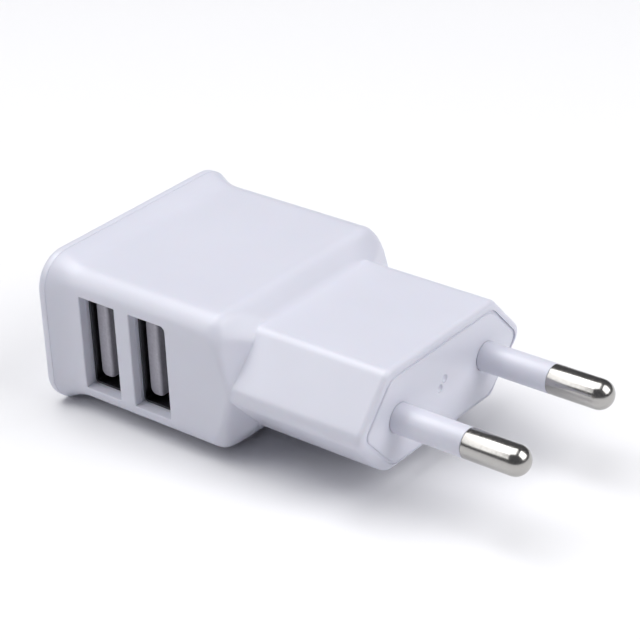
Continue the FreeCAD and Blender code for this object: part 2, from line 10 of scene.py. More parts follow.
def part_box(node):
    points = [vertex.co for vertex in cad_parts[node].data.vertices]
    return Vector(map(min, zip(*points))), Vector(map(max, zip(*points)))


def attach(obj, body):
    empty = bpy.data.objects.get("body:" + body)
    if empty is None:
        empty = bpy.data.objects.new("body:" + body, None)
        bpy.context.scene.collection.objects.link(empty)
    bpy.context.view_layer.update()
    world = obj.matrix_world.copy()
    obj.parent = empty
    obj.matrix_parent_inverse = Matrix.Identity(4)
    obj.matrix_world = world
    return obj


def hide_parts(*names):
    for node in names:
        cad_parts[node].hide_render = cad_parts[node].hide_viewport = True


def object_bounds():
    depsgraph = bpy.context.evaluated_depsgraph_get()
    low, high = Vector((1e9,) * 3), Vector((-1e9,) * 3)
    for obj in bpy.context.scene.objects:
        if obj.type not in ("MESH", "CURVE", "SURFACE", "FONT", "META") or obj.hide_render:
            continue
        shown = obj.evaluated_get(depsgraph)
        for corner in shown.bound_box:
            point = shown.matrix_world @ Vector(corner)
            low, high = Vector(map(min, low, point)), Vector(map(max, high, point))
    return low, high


bl_info = {
    "name": "Two-socket wall charger",
    "version": (1, 0, 0),
    "blender": (4, 5, 0),
    "location": "3D View > Sidebar > Charger",
    "description": "Builds the casing, plug, sockets and circuit of a small wall charger round its frame",
    "category": "Add Mesh",
}

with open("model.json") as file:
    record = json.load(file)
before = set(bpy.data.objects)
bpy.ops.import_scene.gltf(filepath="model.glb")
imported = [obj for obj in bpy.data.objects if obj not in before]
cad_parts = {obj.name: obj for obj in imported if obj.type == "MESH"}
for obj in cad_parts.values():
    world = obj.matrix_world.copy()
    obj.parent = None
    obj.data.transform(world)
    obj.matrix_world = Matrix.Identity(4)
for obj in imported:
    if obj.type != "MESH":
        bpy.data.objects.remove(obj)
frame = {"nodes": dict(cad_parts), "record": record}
cad_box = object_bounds()

MM = 0.001
BODY = "charger"
SIDE_TURN_NORMAL = (0.90, 0.36, 0.26)   # the facets that turn the head's sides in
SOCKETS = ("usb_socket_1", "usb_socket_2")
CONTACT_ROWS = (-3.5, -1.0, 1.0, 3.5)   # heights of a socket's four contacts, in millimetres
CONTACT_STAND = 0.45 * MM               # how far the contact bends stand out of the tongue
CAVITY_R = 2.3 * MM                     # inner long edges of the head, and the cover's spigot
HEAD_CAVITY_END = -23.6 * MM            # the two cavities overlap, so the neck opens into the head
NECK_CAVITY_START = -24.6 * MM
SEAT_ROUNDS = (1.1 * MM, 1.3 * MM)      # side and corner rounds of the plate's seat and foot
PLATE_ROUNDS = (1.0 * MM, 1.2 * MM)     # the same of the plate's face
GATE_MARKS = ((0.3, 0.95), (-0.75, 0.0))    # the two dimples, across and up, in millimetres


# ---------------------------------------------------------------- places taken from the frame
def span(node, axis):
    """Lowest and highest place of a node along one axis."""
    low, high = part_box(node)
    return low[axis], high[axis]


COVER_SEAM = span("housing", 0)[0]
REAR = span("rear_cover", 0)[0]
RIM_HALF_W = span("rear_cover", 1)[1]
RIM_HALF_H = span("rear_cover", 2)[1]
PIN_TIP = span("plug_pin_left", 0)[1]
PIN_Y = sum(span("plug_pin_right", 1)) / 2
PIN_R = span("pin_sleeve_right", 2)[1]
SLEEVE_END = span("pin_sleeve_right", 0)[1]
PLATE_BACK = span("pin_plate", 0)[0]


# ---------------------------------------------------------------- sizes and colours a user would change
def length(name, description, millimetres):
    return bpy.props.FloatProperty(name=name, description=description, default=millimetres * MM,
                                   subtype="DISTANCE", unit="LENGTH", precision=5)


def colour(name, description, value):
    return bpy.props.StringProperty(name=name, description=description + ", as an sRGB hex value",
                                    default=value)


class CasingSizes(bpy.types.PropertyGroup):
    head_half_w: length("Head half width", "Half the head's width, without the rear flare", 17.5)
    head_half_h: length("Head half height", "Half the head's height, without the rear flare", 9.75)
    edge_r: length("Edge radius", "Radius of the head's long edges", 3.5)
    flare_length: length("Flare length", "Length of the sweep before the cover's seam", 4.2)
    seam_edge: length("Seam edge", "Small bevel on each side of the cover's seam", 0.09)
    shoulder_tilt: bpy.props.FloatProperty(name="Shoulder tilt", description="Slope from head to neck",
                                           default=math.radians(45), subtype="ANGLE", unit="ROTATION")
    shoulder_x: length("Shoulder foot", "Where the slope would meet the neck's flat top", -20.4)
    shoulder_r: length("Shoulder radius", "Round at the top of the slope", 2.6)
    shoulder_foot_r: length("Shoulder foot radius", "Hollow round at the foot of the slope", 2.0)
    side_turn_x: length("Side turn", "Where the head's side turns in, at mid height", -20.2)
    side_turn_r: length("Side turn radius", "Round where the side turns in", 1.2)
    corner_blend_r: length("Corner blend", "Extra round where slope and side meet at the corner", 1.4)
    crease_r: length("Crease radius", "Hollow round where the head meets the neck's side slopes", 0.25)
    neck_half_h: length("Neck half height", "Half the neck's height", 7.3)
    neck_corner: length("Neck corner", "Where the two side slopes would meet", 17.95)
    neck_flat: length("Neck flat", "Half width of the neck's flat top", 11.3)
    neck_side_r: length("Neck side radius", "Round of the neck's two side edges", 2.0)
    neck_top_r: length("Neck top radius", "Round between the neck's flats and slopes", 2.0)
    rim_edge_r: length("Rim edge radius", "Round of the rim's outer edge at the plug face", 0.7)
    rim_under_r: length("Rim underside radius", "The same round on the underside", 1.7)
    side_wall: length("Side wall", "Wall round the USB mouths", 2.2)
    top_wall: length("Top wall", "Wall of the head's top and bottom", 1.5)
    neck_wall: length("Neck wall", "Wall of the neck", 2.0)
    rim_wall: length("Rim wall", "Thin wall round the pin plate", 1.0)
    plate_thick: length("Plate thickness", "Thickness of the pin plate", 2.2)
    mouth_edge: length("Mouth edge", "Eased edge of the USB mouths", 0.12)
    mouth_slope: length("Mouth slope", "How much wider the mouths are at the face", 0.15)
    mouth_corner_r: length("Mouth corner radius", "Corners of the USB mouths", 0.08)
    mouth_round_r: length("Mouth round corner", "The second mouth's one round corner", 0.75)


class PlugSizes(bpy.types.PropertyGroup):
    stem_r: length("Stem radius", "Metal stem inside the sleeve", 1.45)
    root_r: length("Sleeve root radius", "Sleeve inside the plate", 1.75)
    sleeve_depth: length("Sleeve depth", "Sleeve held inside the plate", 4.0)
    boss_r: length("Boss radius", "Boss behind the plate", 3.4)
    plate_gap: length("Plate gap", "Groove between rim and plate", 0.4)
    plate_chamfer: length("Plate chamfer", "Bevel round the plate's face", 0.22)
    groove_depth: length("Groove depth", "Depth of that groove", 0.22)
    ring_depth: length("Ring depth", "Depth of the ring groove round each sleeve", 0.07)
    gate_mark_r: length("Gate mark radius", "Radius of the two dimples left by moulding", 0.58)
    gate_mark_depth: length("Gate mark depth", "Depth of the two dimples", 0.38)
    joint_edge: length("Joint edge", "Rounded edge where sleeve and metal meet", 0.1)


class CasingColours(bpy.types.PropertyGroup):
    casing: colour("Casing", "Moulded casing and plate", "#D2D3DF")
    socket_plastic: colour("Socket plastic", "Tongue and block of a USB socket", "#B6B4BE")
    nickel: colour("Nickel", "Plating of the pins", "#B3B1AE")
    # The socket steel's colour is darkened below bare tin plate: painted shade for the inside of the socket
    # mouths.
    steel: colour("Socket steel", "Folded shell of a USB socket", "#505053")
    floor: colour("Floor", "Studio floor", "#EFEFF1")


GROUPS = {"charger_casing": CasingSizes, "charger_plug": PlugSizes, "charger_colours": CasingColours}


def casing():
    return bpy.context.scene.charger_casing


def plug():
    return bpy.context.scene.charger_plug


def colours():
    return bpy.context.scene.charger_colours


# ---------------------------------------------------------------- modelling helpers
def leave_edit_mode():
    if bpy.context.object and bpy.context.object.mode != "OBJECT":
        bpy.ops.object.mode_set(mode="OBJECT")


def start(name):
    """Names the primitive just added, and opens it for editing with nothing selected."""
    piece = bpy.context.object
    piece.name = name
    piece.data.name = name
    bpy.ops.object.transform_apply(location=True, rotation=True, scale=True)
    bpy.ops.object.mode_set(mode="EDIT")
    bpy.ops.mesh.select_all(action="DESELECT")
    return piece


def add_box(name, low, high):
    leave_edit_mode()
    bpy.ops.object.select_all(action="DESELECT")
    low, high = Vector(low), Vector(high)
    bpy.ops.mesh.primitive_cube_add(size=1, location=(low + high) / 2)
    bpy.context.object.scale = high - low
    return start(name)


def add_rod(name, x0, x1, y, z, radius, sides=64):
    """A round rod along X."""
    leave_edit_mode()
    bpy.ops.object.select_all(action="DESELECT")
    bpy.ops.mesh.primitive_cylinder_add(vertices=sides, radius=radius, depth=x1 - x0,
                                        location=((x0 + x1) / 2, y, z), rotation=(0, math.pi / 2, 0))
    return start(name)


def pick(piece, kind, test):
    """Selects the faces, edges or vertices of the piece being edited that pass a test on their centre."""
    bpy.ops.mesh.select_mode(type={"face": "FACE", "edge": "EDGE", "vert": "VERT"}[kind])
    bpy.ops.mesh.select_all(action="DESELECT")
    mesh = bmesh.from_edit_mesh(piece.data)
    items = {"face": mesh.faces, "edge": mesh.edges, "vert": mesh.verts}[kind]
    found = 0
    for item in items:
        chosen = test(item)
        item.select_set(chosen)
        found += chosen
    mesh.select_flush_mode()
    bmesh.update_edit_mesh(piece.data)
    if not found:
        raise RuntimeError(piece.name + ": nothing was selected")


def centre(item):
    """Middle of an edge."""
    return (item.verts[0].co + item.verts[1].co) / 2


def along(item, axis):
    """True if an edge runs along an axis, given as 0, 1 or 2."""
    run = item.verts[1].co - item.verts[0].co
    return abs(run[axis]) > 0.999 * run.length


def faces_towards(piece, direction):
    aim = Vector(direction)
    pick(piece, "face", lambda face: face.normal.dot(aim) > 0.99)


def bevel(width, segments, profile=0.5):
    bpy.ops.mesh.bevel(offset=width, segments=segments, profile=profile, affect="EDGES", clamp_overlap=True)


def bevel_long_edges(piece, axis, width, segments):
    pick(piece, "edge", lambda edge: along(edge, axis))
    bevel(width, segments)


def bevel_rim(piece, axis, place, width, segments):
    """Bevels every edge that lies in the plane at a place on an axis and borders the face there."""
    def on_rim(edge):
        flat = all(abs(vert.co[axis] - place) < 1e-6 for vert in edge.verts)
        return flat and any(abs(face.normal[axis]) < 0.7 for face in edge.link_faces)
    pick(piece, "edge", on_rim)
    bevel(width, segments)


def finish_mesh(piece, angle=32):
    """Closes the edit, merges doubles, turns the faces outwards and shades the piece smooth."""
    if piece.mode != "EDIT":
        bpy.context.view_layer.objects.active = piece
        bpy.ops.object.mode_set(mode="EDIT")
    bpy.ops.mesh.select_all(action="SELECT")
    bpy.ops.mesh.remove_doubles(threshold=2e-6)
    bpy.ops.mesh.normals_make_consistent(inside=False)
    bpy.ops.object.mode_set(mode="OBJECT")
    bpy.ops.object.select_all(action="DESELECT")
    piece.select_set(True)
    bpy.context.view_layer.objects.active = piece
    bpy.ops.object.shade_smooth_by_angle(angle=math.radians(angle))
    return piece


def combine(piece, other, operation):
    """Cuts another piece out of this one, or joins it on, and removes the other."""
    leave_edit_mode()
    bpy.ops.object.select_all(action="DESELECT")
    piece.select_set(True)
    bpy.context.view_layer.objects.active = piece
    step = piece.modifiers.new("combine", "BOOLEAN")
    step.operation = operation
    step.solver = "EXACT"
    step.object = other
    bpy.ops.object.modifier_apply(modifier=step.name)
    bpy.data.objects.remove(other)
    return piece


def copy_piece(piece, name, shift):
    """A second piece with its own mesh, moved by a shift."""
    twin = piece.copy()
    twin.data = piece.data.copy()
    twin.name = name
    twin.data.name = name
    bpy.context.scene.collection.objects.link(twin)
    bpy.ops.object.select_all(action="DESELECT")
    twin.select_set(True)
    bpy.context.view_layer.objects.active = twin
    twin.location = shift
    bpy.ops.object.transform_apply(location=True, rotation=False, scale=False)
    return twin


def settle(piece, body, node, material):
    """Gives a finished piece its material and its place in the assembly."""
    piece.data.materials.clear()
    piece.data.materials.append(material)
    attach(piece, body)
    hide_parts(node)


# ---------------------------------------------------------------- materials
def linear(value):
    """An sRGB hex value as linear red, green, blue and alpha."""
    channels = [int(value[i:i + 2], 16) / 255 for i in (1, 3, 5)]
    return tuple(c / 12.92 if c <= 0.04045 else ((c + 0.055) / 1.055) ** 2.4 for c in channels) + (1.0,)


def add_node(tree, kind, settings=None, inputs=None, links=None):
    """Adds a node, sets its properties and sockets, and links sockets from other nodes."""
    node = tree.nodes.new(kind)
    for name, value in (settings or {}).items():
        setattr(node, name, value)
    for name, value in (inputs or {}).items():
        node.inputs[name].default_value = value
    for name, (source, output) in (links or {}).items():
        tree.links.new(source.outputs[output], node.inputs[name])
    return node


def new_material(name, base, roughness, metallic=0.0, ior=1.5, **extra):
    """A material with its shader ready; returns the material, its tree and the shader."""
    material = bpy.data.materials.new(name)
    material.use_nodes = True
    tree = material.node_tree
    shader = tree.nodes["Principled BSDF"]
    shader.inputs["Base Color"].default_value = linear(base)
    shader.inputs["Roughness"].default_value = roughness
    shader.inputs["Metallic"].default_value = metallic
    shader.inputs["IOR"].default_value = ior
    for socket, value in extra.items():
        shader.inputs[socket.replace("_", " ")].default_value = value
    return material, tree, shader


def grain(tree, size_mm, detail=2.0, kind="ShaderNodeTexNoise"):
    """A noise pattern whose features are about size_mm across, on Object coordinates."""
    place = add_node(tree, "ShaderNodeTexCoord")
    return add_node(tree, kind, inputs={"Scale": 1 / (size_mm * MM), "Detail": detail},
                    links={"Vector": (place, "Object")})


def vary(tree, pattern, low, high):
    """Maps a pattern to a range of values."""
    return add_node(tree, "ShaderNodeMapRange", inputs={"From Min": 0.3, "From Max": 0.7,
                                                        "To Min": low, "To Max": high},
                    links={"Value": (pattern, "Fac")})


def tint(tree, pattern, first, second):
    """Mixes two colours by a pattern."""
    return add_node(tree, "ShaderNodeMix", {"data_type": "RGBA"},
                    {6: linear(first), 7: linear(second)}, {0: (pattern, "Result")})


def bump(tree, shader, pattern, height_mm, strength):
    ripple = add_node(tree, "ShaderNodeBump", inputs={"Distance": height_mm * MM, "Strength": strength},
                      links={"Height": (pattern, "Fac")})
    tree.links.new(ripple.outputs["Normal"], shader.inputs["Normal"])


def polycarbonate_gloss_moulded():
    """Gloss polycarbonate from a polished mould: a clean white with a cool tint, a soft glow in
    the edges, faint flow marks in the colour and the slight waviness of cooled plastic."""
    material, tree, shader = new_material("polycarbonate_gloss_moulded", colours().casing, 0.34, ior=1.585,
                                          Subsurface_Weight=0.06, Subsurface_Scale=0.6 * MM)
    flow = grain(tree, 14.0)
    mixed = tint(tree, vary(tree, flow, 0.0, 1.0), "#D1D2DE", "#D4D5E1")
    tree.links.new(mixed.outputs[2], shader.inputs["Base Color"])
    haze = grain(tree, 5.0, 3.0)
    gloss = vary(tree, haze, 0.3, 0.38)
    tree.links.new(gloss.outputs["Result"], shader.inputs["Roughness"])
    bump(tree, shader, grain(tree, 2.5, 1.0), 0.004, 0.35)
    return material


def nickel_plate_polished():
    """Nickel plate on drawn brass, tumbled bright: warm grey mirror with fine wipe marks, drawn
    coarser than real ones so that they show."""
    material, tree, shader = new_material("nickel_plate_polished", colours().nickel, 0.2, metallic=1.0)
    wipe = grain(tree, 0.35, 4.0)
    gloss = vary(tree, wipe, 0.16, 0.27)
    tree.links.new(gloss.outputs["Result"], shader.inputs["Roughness"])
    bump(tree, shader, grain(tree, 0.5, 3.0), 0.0016, 0.7)
    return material


def tin_plated_steel_painted_shade():
    """Tin-plated steel sheet, rolled and folded, with a fine rolling grain drawn coarser than the real one so
    that it shows. Its grey is darkened well below real tin plate: painted shade, so that the inside of the
    socket mouths reads black."""
    material, tree, shader = new_material("tin_plated_steel_painted_shade", colours().steel, 0.35, metallic=1.0)
    rolled = grain(tree, 0.2, 4.0)
    gloss = vary(tree, rolled, 0.28, 0.42)
    tree.links.new(gloss.outputs["Result"], shader.inputs["Roughness"])
    bump(tree, shader, grain(tree, 0.15, 2.0), 0.0006, 0.5)
    return material


def liquid_crystal_polymer_moulded():
    """Glass-filled polymer of connector bodies: matt grey with a faint fibre mottle, drawn coarser
    than the real fibres so that it shows."""
    material, tree, shader = new_material("liquid_crystal_polymer_moulded", colours().socket_plastic, 0.5,
                                          ior=1.6)
    fibre = grain(tree, 0.4, 3.0)
    mixed = tint(tree, vary(tree, fibre, 0.0, 1.0), "#B0AEB8", "#BCBAC4")
    tree.links.new(mixed.outputs[2], shader.inputs["Base Color"])
    bump(tree, shader, grain(tree, 0.12, 2.0), 0.002, 0.4)
    return material


def speckled(name, base, second, roughness, size_mm, height_mm, metallic=0.0, ior=1.5):
    """The common build of a small part's finish: two close colours in a mottle, and a fine relief,
    both drawn coarser than the real grain so that they show."""
    material, tree, shader = new_material(name, base, roughness, metallic=metallic, ior=ior)
    mottle = grain(tree, size_mm, 3.0)
    mixed = tint(tree, vary(tree, mottle, 0.0, 1.0), base, second)
    tree.links.new(mixed.outputs[2], shader.inputs["Base Color"])
    gloss = vary(tree, mottle, roughness * 0.85, min(roughness * 1.2, 1.0))
    tree.links.new(gloss.outputs["Result"], shader.inputs["Roughness"])
    bump(tree, shader, grain(tree, size_mm / 2, 2.0), height_mm, 0.4)
    return material


# ---------------------------------------------------------------- casing shape
def round_high(first, second, radius, cosine):
    """The higher of two distances, with an exact round where their surfaces meet. The cosine is
    that of the angle between the two outward normals."""
    over_first, over_second = first + radius, second + radius
    square = over_first ** 2 + over_second ** 2 - 2 * over_first * over_second * cosine
    corner = np.sqrt(np.maximum(square, 0) / (1 - cosine ** 2)) - radius
    on_corner = (over_first > over_second * cosine) & (over_second > over_first * cosine)
    return np.where(on_corner, corner, np.maximum(first, second))


def round_low(first, second, radius, cosine):
    """The lower of two distances, with a hollow round where their surfaces meet."""
    return -round_high(-first, -second, radius, cosine)


def ease(x):
    """Goes smoothly from 0 to 1."""
    x = np.clip(x, 0, 1)
    return x * x * (3 - 2 * x)


def head_distance(x, y, z):
    """Distance outside the head: a rounded box, swept out at the rear, sloped down to the neck."""
    size = casing()
    sweep = np.maximum(COVER_SEAM + size.flare_length - x, 0)
    rise_end = RIM_HALF_W - size.head_half_w
    sweep_r = (size.flare_length ** 2 + rise_end ** 2) / (2 * rise_end)
    rise = sweep_r - np.sqrt(np.maximum(sweep_r ** 2 - sweep ** 2, 0))
    rise -= np.maximum(COVER_SEAM + size.seam_edge - x, 0)
    corner = size.edge_r + rise
    over_y = np.abs(y) - (size.head_half_w + rise - corner)
    over_z = np.abs(z) - (size.head_half_h + rise - corner)
    outside = np.hypot(np.maximum(over_y, 0), np.maximum(over_z, 0))
    bar = outside + np.minimum(np.maximum(over_y, over_z), 0) - corner
    tilt = size.shoulder_tilt
    top_slope = (x - size.shoulder_x) * math.sin(tilt) + (np.abs(z) - size.neck_half_h) * math.cos(tilt)
    head = round_high(bar, top_slope, size.shoulder_r, math.cos(tilt))
    turn = Vector(SIDE_TURN_NORMAL).normalized()
    side_slope = ((x - size.side_turn_x) * turn.x + (np.abs(y) - size.head_half_w) * turn.y
                  + np.abs(z) * turn.z)
    blend_from, blend_over = 5.0 * MM, 3.5 * MM
    near_corner = ease((np.abs(z) - blend_from) / blend_over)
    return round_high(head, side_slope, size.side_turn_r + size.corner_blend_r * near_corner, turn.y)


def neck_slope():
    """Outward normal of the neck's upper side slope, across and up."""
    size = casing()
    return Vector((size.neck_half_h, size.neck_corner - size.neck_flat)).normalized()


def neck_distance(x, y, z):
    """Distance outside the neck's six-sided bar, whose end edge is rounded, more so underneath."""
    size = casing()
    across, up = neck_slope()
    side_up = (np.abs(y) - size.neck_corner) * across + z * up
    side_down = (np.abs(y) - size.neck_corner) * across - z * up
    sides = round_high(side_up, side_down, size.neck_side_r, across ** 2 - up ** 2)
    bar = round_high(sides, np.abs(z) - size.neck_half_h, size.neck_top_r, up)
    rounding = size.rim_edge_r + (size.rim_under_r - size.rim_edge_r) * ease(0.3 - z / size.neck_half_h)
    into = np.maximum(x + rounding, 0)
    return bar + rounding - np.sqrt(np.maximum(rounding ** 2 - into ** 2, 0))


def casing_distance(x, y, z):
    """Distance outside head and neck, with a fillet between them that narrows off the flats."""
    size = casing()
    fade_from, fade_over = size.neck_flat - 0.3 * MM, 2.5 * MM
    flat = ease((fade_from - np.abs(y)) / fade_over)
    fillet = size.crease_r + (size.shoulder_foot_r - size.crease_r) * flat
    return round_low(head_distance(x, y, z), neck_distance(x, y, z), fillet, math.cos(size.shoulder_tilt))


def casing_stations():
    """Places along X where the skin gets a ring: close together where the outline changes."""
    size = casing()
    seam = [COVER_SEAM, COVER_SEAM + size.seam_edge / 2, COVER_SEAM + size.seam_edge]
    sweep = np.linspace(COVER_SEAM + size.seam_edge, COVER_SEAM + size.flare_length, 16)[1:]
    shoulder = np.arange(-26.0, -14.0, 0.125) * MM
    turn = np.linspace(0, math.pi / 2, 15)
    rim = size.rim_under_r * (np.sin(turn) - 1)
    return seam + list(sweep) + [-40.0 * MM, -33.0 * MM] + list(shoulder) + [-8.0 * MM] + list(rim)


def build_skin(name, stations, distance, sides):
    """Extrudes a ring from station to station, then draws every ring in to the outline there."""
    leave_edit_mode()
    bpy.ops.object.select_all(action="DESELECT")
    bpy.ops.mesh.primitive_circle_add(vertices=sides, radius=1.0, fill_type="NGON",
                                      location=(stations[0], 0, 0), rotation=(0, math.pi / 2, 0))
    piece = start(name)
    bpy.ops.mesh.select_all(action="SELECT")
    for before, after in zip(stations, stations[1:]):
        bpy.ops.mesh.extrude_region_move(TRANSFORM_OT_translate={"value": (after - before, 0, 0)})
    bpy.ops.object.mode_set(mode="OBJECT")
    count = len(piece.data.vertices)
    places = np.empty(count * 3)
    piece.data.vertices.foreach_get("co", places)
    places = places.reshape(-1, 3)
    reach = np.hypot(places[:, 1], places[:, 2])
    way_y, way_z = places[:, 1] / reach, places[:, 2] / reach
    widest, halvings = 40.0 * MM, 36
    inner, outer = np.zeros(count), np.full(count, widest)
    for _ in range(halvings):
        middle = (inner + outer) / 2
        inside = distance(places[:, 0], way_y * middle, way_z * middle) < 0
        inner, outer = np.where(inside, middle, inner), np.where(inside, outer, middle)
    places[:, 1], places[:, 2] = way_y * inner, way_z * inner
    piece.data.vertices.foreach_set("co", places.ravel())
    piece.data.update()
    return piece


def six_sided_bar(name, x0, x1, inset, side_r, corner_r):
    """The neck's section moved inwards by inset, as a bar along X, from a six-sided cylinder."""
    size = casing()
    run = Vector((size.neck_half_h, size.neck_corner - size.neck_flat))
    corner = size.neck_corner - inset * run.length / size.neck_half_h
    half_h = size.neck_half_h - inset
    flat = corner - half_h * run.y / size.neck_half_h
    leave_edit_mode()
    bpy.ops.object.select_all(action="DESELECT")
    bpy.ops.mesh.primitive_cylinder_add(vertices=6, radius=1.0, depth=x1 - x0,
                                        location=((x0 + x1) / 2, 0, 0), rotation=(0, math.pi / 2, 0))
    piece = bpy.context.object
    bpy.ops.object.transform_apply(location=True, rotation=True, scale=True)
    # The corners lie on a circle of radius 1. Two of them have to point sideways, none up.
    if max(vert.co.z for vert in piece.data.vertices) > 0.95:
        piece.rotation_euler = (math.radians(30), 0, 0)
    piece = start(name)
    pick(piece, "vert", lambda vert: abs(vert.co.z) < 0.1)
    bpy.ops.transform.resize(value=(1, corner, 1), center_override=((x0 + x1) / 2, 0, 0))
    pick(piece, "vert", lambda vert: abs(vert.co.z) > 0.1)
    bpy.ops.transform.resize(value=(1, flat / 0.5, half_h / math.sin(math.pi / 3)),
                             center_override=((x0 + x1) / 2, 0, 0))
    pick(piece, "edge", lambda edge: along(edge, 0) and abs(centre(edge).z) < 1e-5)
    bevel(side_r, 8)
    pick(piece, "edge", lambda edge: along(edge, 0) and abs(abs(centre(edge).z) - half_h) < 1e-5)
    bevel(corner_r, 6)
    return piece


def rounded_bar(name, x0, x1, half_y, half_z, radius, segments=12):
    piece = add_box(name, (x0, -half_y, -half_z), (x1, half_y, half_z))
    bevel_long_edges(piece, 0, radius, segments)
    return piece


def socket_bar(name, x, y0, y1, width, height, radius, segments=5):
    """A bar along Y with rounded edges, centred on x."""
    piece = add_box(name, (x - width / 2, y0, -height / 2), (x + width / 2, y1, height / 2))
    bevel_long_edges(piece, 1, radius, segments)
    return piece


def mouth_bar(name, socket, y0, y1, grow):
    """A mouth's cutter: sharp-cornered but for the second socket's upper corner next to the plug."""
    size = casing()
    low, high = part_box(socket + "_shell")
    x0, x1 = low.x - 0.05 * MM - grow, high.x + 0.05 * MM + grow
    z0, z1 = low.z - 0.05 * MM - grow, high.z + 0.05 * MM + grow
    piece = add_box(name, (x0, y0, z0), (x1, y1, z1))

    def round_corner(edge):
        upper_plug_side = centre(edge).x > x1 - 1e-5 and centre(edge).z > z1 - 1e-5
        return along(edge, 1) and upper_plug_side and socket == SOCKETS[1]

    pick(piece, "edge", lambda edge: along(edge, 1) and not round_corner(edge))
    bevel(size.mouth_corner_r, 3)
    if socket == SOCKETS[1]:
        pick(piece, "edge", round_corner)
        bevel(size.mouth_round_r, 10)
    return piece


def widen_front(cutter, socket, grow):
    """Draws the outer face of a mouth's cutter outwards, so that it cuts sloping walls."""
    low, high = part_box(socket + "_shell")
    faces_towards(cutter, (0, -1, 0))
    bpy.ops.transform.resize(value=(1 + 2 * grow / (high.x - low.x), 1, 1 + 2 * grow / (high.z - low.z)),
                             center_override=((low.x + high.x) / 2, 0, 0))


def cut_mouth(piece, socket):
    """A socket's mouth: straight inside, then a tiny step and walls that slope out to an eased edge."""
    size = casing()
    face = -size.head_half_w
    slope_depth = 1.05 * MM
    combine(piece, mouth_bar("mouth", socket, face - MM, face + size.side_wall + 0.2 * MM, 0), "DIFFERENCE")
    slope = mouth_bar("mouth_slope", socket, face - MM, face + slope_depth, 0.02 * MM)
    widen_front(slope, socket, size.mouth_slope * (slope_depth + MM) / slope_depth)
    combine(piece, slope, "DIFFERENCE")
    eased = mouth_bar("mouth_ease", socket, face - MM, face + size.mouth_edge, size.mouth_slope)
    widen_front(eased, socket, size.mouth_edge + MM)
    combine(piece, eased, "DIFFERENCE")


def rib_boxes():
    """Ribs that hold the main board: two on the far wall and two pads in the neck."""
    size = casing()
    wall = size.head_half_w - size.side_wall
    under, top = span("main_board", 2)
    rib = 1.0 * MM
    near = 0.05 * MM
    ribs = [((-47.5 * MM, wall - rib, under - rib - near), (-25.0 * MM, wall + 0.2 * MM, under - near)),
            ((-47.5 * MM, wall - rib, top + near), (-31.5 * MM, wall + 0.2 * MM, top + rib))]
    floor = size.neck_wall - size.neck_half_h
    for y in (-5.0 * MM, 5.0 * MM):
        ribs.append(((-20.0 * MM, y - rib, floor - 0.2 * MM), (-13.5 * MM, y + rib, under - near)))
    return ribs


def build_housing():
    size = casing()
    piece = build_skin("housing_shell", casing_stations(), casing_distance, 360)
    cavity = rounded_bar("cavity", COVER_SEAM - MM, HEAD_CAVITY_END, size.head_half_w - size.side_wall,
                         size.head_half_h - size.top_wall, CAVITY_R)
    combine(piece, cavity, "DIFFERENCE")
    neck = six_sided_bar("neck_cavity", NECK_CAVITY_START, -size.plate_thick, size.neck_wall,
                         0.5 * MM, 0.3 * MM)
    combine(piece, neck, "DIFFERENCE")
    seat = six_sided_bar("plate_seat", -size.plate_thick, MM, size.rim_wall, *SEAT_ROUNDS)
    combine(piece, seat, "DIFFERENCE")
    for socket in SOCKETS:
        cut_mouth(piece, socket)
    for rib_low, rib_high in rib_boxes():
        combine(piece, add_box("rib", rib_low, rib_high), "UNION")
    finish_mesh(piece, 28)
    return piece


def build_rear_cover():
    size = casing()
    plate = rounded_bar("rear_cover_shell", REAR, COVER_SEAM, RIM_HALF_W, RIM_HALF_H,
                        size.edge_r + RIM_HALF_W - size.head_half_w, 16)
    bevel_rim(plate, 0, REAR, 0.5 * MM, 5)
    bevel_rim(plate, 0, COVER_SEAM, 0.06 * MM, 2)
    spigot_end = span("rear_cover", 0)[1]
    clearance = 0.05 * MM
    half_w = size.head_half_w - size.side_wall - clearance
    half_h = size.head_half_h - size.top_wall - clearance
    wall = 1.2 * MM
    spigot = rounded_bar("spigot", COVER_SEAM - 0.5 * MM, spigot_end, half_w, half_h, CAVITY_R)
    hollow = rounded_bar("hollow", COVER_SEAM, spigot_end + MM, half_w - wall, half_h - wall,
                         CAVITY_R - wall)
    combine(plate, spigot, "UNION")
    combine(plate, hollow, "DIFFERENCE")
    board_low, board_high = span("main_board", 2)
    slot = add_box("board_slot", (COVER_SEAM, half_w - 2 * wall, board_low - 1.1 * MM),
                   (spigot_end + MM, half_w + MM, board_high + 1.1 * MM))
    combine(plate, slot, "DIFFERENCE")
    return finish_mesh(plate)


